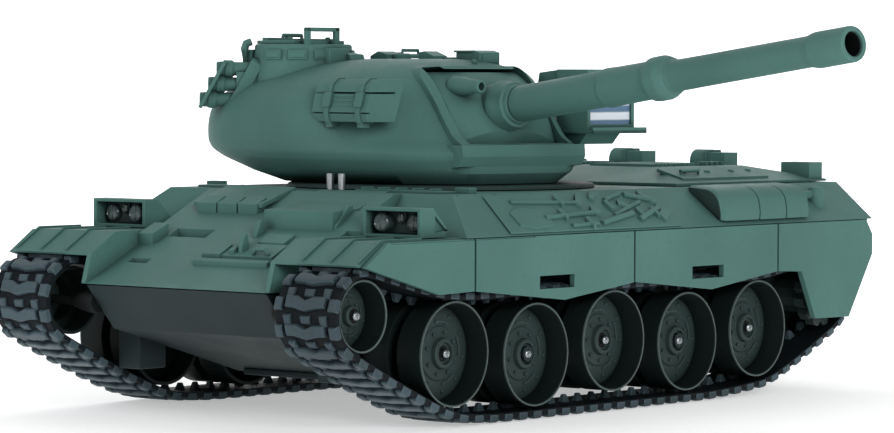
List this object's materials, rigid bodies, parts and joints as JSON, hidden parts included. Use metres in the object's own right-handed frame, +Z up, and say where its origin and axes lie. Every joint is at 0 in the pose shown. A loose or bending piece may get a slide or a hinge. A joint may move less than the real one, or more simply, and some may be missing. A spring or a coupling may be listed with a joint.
{
  "type": "radio-controlled toy tank",
  "caption": "Toy battle tank for radio control: sloping bow, side skirts over running gear in rubber tracks, cast-look turret turned to one side with a long raised gun.",
  "frame": {"origin": "centre of the flat belly plate's outer face, straight under the middle road wheels", "axes": "+X forward along the hull, +Y to the tank's left, +Z up; the tracks stand on the plane z = -10.6 mm"},
  "size_m": [0.2813, 0.2701, 0.123],
  "materials": {
    "hull_green": "satin grey-green moulded plastic",
    "tub_dark": "darker grey-green moulded plastic",
    "wheel_green": "satin dark green plastic",
    "track_rubber": "dull blue-black rubber",
    "black_plastic": "matt black plastic",
    "steel": "plain bright steel",
    "lamp_glass": "clear and silvered lamp plastic",
    "cell_wrap": "shrink-wrapped cells",
    "board": "coated circuit board"
  },
  "bodies": {
    "hull": {"upper_hull": "hull_green", "lower_hull": "tub_dark", "engine_deck": "hull_green", "gearbox": "black_plastic", "drive_motor_left": "steel", "drive_motor_right": "steel", "battery_pack": "cell_wrap", "circuit_board": "board", "turret_motor": "steel", "contact_post_inner": "steel", "contact_post_outer": "steel", "skirt_left": "hull_green", "tool_panel_left": "hull_green", "stowage_bin_left": "hull_green", "headlight_guard_left": "hull_green", "headlamps_left": "lamp_glass", "track_left": "track_rubber", "skirt_right": "hull_green", "tool_panel_right": "hull_green", "stowage_bin_right": "hull_green", "headlight_guard_right": "hull_green", "headlamps_right": "lamp_glass", "track_right": "track_rubber"},
    "turret": {"turret_shell": "hull_green", "turret_base": "hull_green", "cupola": "hull_green", "sight_box": "hull_green", "searchlight_tray": "hull_green", "searchlight_housing": "hull_green", "searchlight_lens": "lamp_glass", "smoke_discharger_right": "hull_green", "smoke_discharger_left": "hull_green", "flank_box_right": "hull_green"},
    "gun": {"gun_shield": "hull_green", "gun_barrel": "hull_green"},
    "cupola_hatch": {"cupola_hatch": "hull_green"},
    "loader_hatch": {"loader_hatch": "hull_green"},
    "battery_door": {"battery_door": "tub_dark"},
    "power_switch": {"power_switch": "black_plastic"},
    "sprocket_left": {"drive_sprocket_left": "wheel_green"},
    "idler_left": {"idler_wheel_left": "wheel_green"},
    "wheel_left_1": {"road_wheel_left_1": "wheel_green"},
    "arm_left_2": {"swing_arm_left_2": "tub_dark"},
    "wheel_left_2": {"road_wheel_left_2": "wheel_green"},
    "wheel_left_3": {"road_wheel_left_3": "wheel_green"},
    "arm_left_4": {"swing_arm_left_4": "tub_dark"},
    "wheel_left_4": {"road_wheel_left_4": "wheel_green"},
    "wheel_left_5": {"road_wheel_left_5": "wheel_green"},
    "sprocket_right": {"drive_sprocket_right": "wheel_green"},
    "idler_right": {"idler_wheel_right": "wheel_green"},
    "wheel_right_1": {"road_wheel_right_1": "wheel_green"},
    "arm_right_2": {"swing_arm_right_2": "tub_dark"},
    "wheel_right_2": {"road_wheel_right_2": "wheel_green"},
    "wheel_right_3": {"road_wheel_right_3": "wheel_green"},
    "arm_right_4": {"swing_arm_right_4": "tub_dark"},
    "wheel_right_4": {"road_wheel_right_4": "wheel_green"},
    "wheel_right_5": {"road_wheel_right_5": "wheel_green"}
  },
  "joints": [
    {"name": "turret_traverse", "type": "hinge", "parent": "hull", "child": "turret", "pos_m": [0, 0, 0.06], "axis": [0, 0, 1], "range_deg": [-240, 80]},
    {"name": "gun_elevation", "type": "hinge", "parent": "turret", "child": "gun", "pos_m": [0, 0, 0.066], "axis": [0.9848, -0.1736, 0], "range_deg": [-6, 3]},
    {"name": "cupola_hatch_hinge", "type": "hinge", "parent": "turret", "child": "cupola_hatch", "pos_m": [0.01431, -0.06284, 0.1072], "axis": [0.9848, -0.1736, 0], "range_deg": [0, 90]},
    {"name": "loader_hatch_hinge", "type": "hinge", "parent": "turret", "child": "loader_hatch", "pos_m": [-0.02257, -0.04161, 0.1026], "axis": [0.9848, -0.1736, 0], "range_deg": [0, 90]},
    {"name": "battery_door_lift_out", "type": "slide", "parent": "hull", "child": "battery_door", "axis": [0, 0, -1], "range_m": [0, 0.008]},
    {"name": "power_switch_slide", "type": "slide", "parent": "hull", "child": "power_switch", "axis": [0, 1, 0], "range_m": [0, 0.005]},
    {"name": "drive_sprocket_left_spin", "type": "hinge", "parent": "hull", "child": "sprocket_left", "pos_m": [-0.121, 0.0605, 0.022], "axis": [0, 1, 0], "continuous": true},
    {"name": "idler_wheel_left_spin", "type": "hinge", "parent": "hull", "child": "idler_left", "pos_m": [0.1218, 0.0605, 0.0254], "axis": [0, 1, 0], "continuous": true},
    {"name": "road_wheel_left_1_spin", "type": "hinge", "parent": "hull", "child": "wheel_left_1", "pos_m": [0.08, 0.0606, 0.012], "axis": [0, 1, 0], "continuous": true},
    {"name": "swing_arm_left_2_pivot", "type": "hinge", "parent": "hull", "child": "arm_left_2", "pos_m": [0.054, 0.04, 0.016], "axis": [0, 1, 0], "range_deg": [0, 8], "stiffness_Nm_per_rad": 0.05, "springref_deg": -22.92},
    {"name": "road_wheel_left_2_spin", "type": "hinge", "parent": "arm_left_2", "child": "wheel_left_2", "pos_m": [0.04, 0.0606, 0.00975], "axis": [0, 1, 0], "continuous": true},
    {"name": "road_wheel_left_3_spin", "type": "hinge", "parent": "hull", "child": "wheel_left_3", "pos_m": [0, 0.0606, 0.012], "axis": [0, 1, 0], "continuous": true},
    {"name": "swing_arm_left_4_pivot", "type": "hinge", "parent": "hull", "child": "arm_left_4", "pos_m": [-0.026, 0.04, 0.016], "axis": [0, 1, 0], "range_deg": [0, 8], "stiffness_Nm_per_rad": 0.05, "springref_deg": -22.92},
    {"name": "road_wheel_left_4_spin", "type": "hinge", "parent": "arm_left_4", "child": "wheel_left_4", "pos_m": [-0.04, 0.0606, 0.00975], "axis": [0, 1, 0], "continuous": true},
    {"name": "road_wheel_left_5_spin", "type": "hinge", "parent": "hull", "child": "wheel_left_5", "pos_m": [-0.08, 0.0606, 0.012], "axis": [0, 1, 0], "continuous": true},
    {"name": "drive_sprocket_right_spin", "type": "hinge", "parent": "hull", "child": "sprocket_right", "pos_m": [-0.121, -0.0605, 0.022], "axis": [0, 1, 0], "continuous": true},
    {"name": "idler_wheel_right_spin", "type": "hinge", "parent": "hull", "child": "idler_right", "pos_m": [0.1218, -0.0605, 0.0254], "axis": [0, 1, 0], "continuous": true},
    {"name": "road_wheel_right_1_spin", "type": "hinge", "parent": "hull", "child": "wheel_right_1", "pos_m": [0.08, -0.0606, 0.012], "axis": [0, 1, 0], "continuous": true},
    {"name": "swing_arm_right_2_pivot", "type": "hinge", "parent": "hull", "child": "arm_right_2", "pos_m": [0.054, -0.04, 0.016], "axis": [0, 1, 0], "range_deg": [0, 8], "stiffness_Nm_per_rad": 0.05, "springref_deg": -22.92},
    {"name": "road_wheel_right_2_spin", "type": "hinge", "parent": "arm_right_2", "child": "wheel_right_2", "pos_m": [0.04, -0.0606, 0.00975], "axis": [0, 1, 0], "continuous": true},
    {"name": "road_wheel_right_3_spin", "type": "hinge", "parent": "hull", "child": "wheel_right_3", "pos_m": [0, -0.0606, 0.012], "axis": [0, 1, 0], "continuous": true},
    {"name": "swing_arm_right_4_pivot", "type": "hinge", "parent": "hull", "child": "arm_right_4", "pos_m": [-0.026, -0.04, 0.016], "axis": [0, 1, 0], "range_deg": [0, 8], "stiffness_Nm_per_rad": 0.05, "springref_deg": -22.92},
    {"name": "road_wheel_right_4_spin", "type": "hinge", "parent": "arm_right_4", "child": "wheel_right_4", "pos_m": [-0.04, -0.0606, 0.00975], "axis": [0, 1, 0], "continuous": true},
    {"name": "road_wheel_right_5_spin", "type": "hinge", "parent": "hull", "child": "wheel_right_5", "pos_m": [-0.08, -0.0606, 0.012], "axis": [0, 1, 0], "continuous": true}
  ],
  "couplings": [
    {"joint": "idler_wheel_left_spin", "follows": "drive_sprocket_left_spin", "ratio": 1.0522},
    {"joint": "road_wheel_left_1_spin", "follows": "drive_sprocket_left_spin", "ratio": 0.7516},
    {"joint": "road_wheel_left_2_spin", "follows": "drive_sprocket_left_spin", "ratio": 0.7516},
    {"joint": "road_wheel_left_3_spin", "follows": "drive_sprocket_left_spin", "ratio": 0.7516},
    {"joint": "road_wheel_left_4_spin", "follows": "drive_sprocket_left_spin", "ratio": 0.7516},
    {"joint": "road_wheel_left_5_spin", "follows": "drive_sprocket_left_spin", "ratio": 0.7516},
    {"joint": "idler_wheel_right_spin", "follows": "drive_sprocket_right_spin", "ratio": 1.0522},
    {"joint": "road_wheel_right_1_spin", "follows": "drive_sprocket_right_spin", "ratio": 0.7516},
    {"joint": "road_wheel_right_2_spin", "follows": "drive_sprocket_right_spin", "ratio": 0.7516},
    {"joint": "road_wheel_right_3_spin", "follows": "drive_sprocket_right_spin", "ratio": 0.7516},
    {"joint": "road_wheel_right_4_spin", "follows": "drive_sprocket_right_spin", "ratio": 0.7516},
    {"joint": "road_wheel_right_5_spin", "follows": "drive_sprocket_right_spin", "ratio": 0.7516}
  ]
}
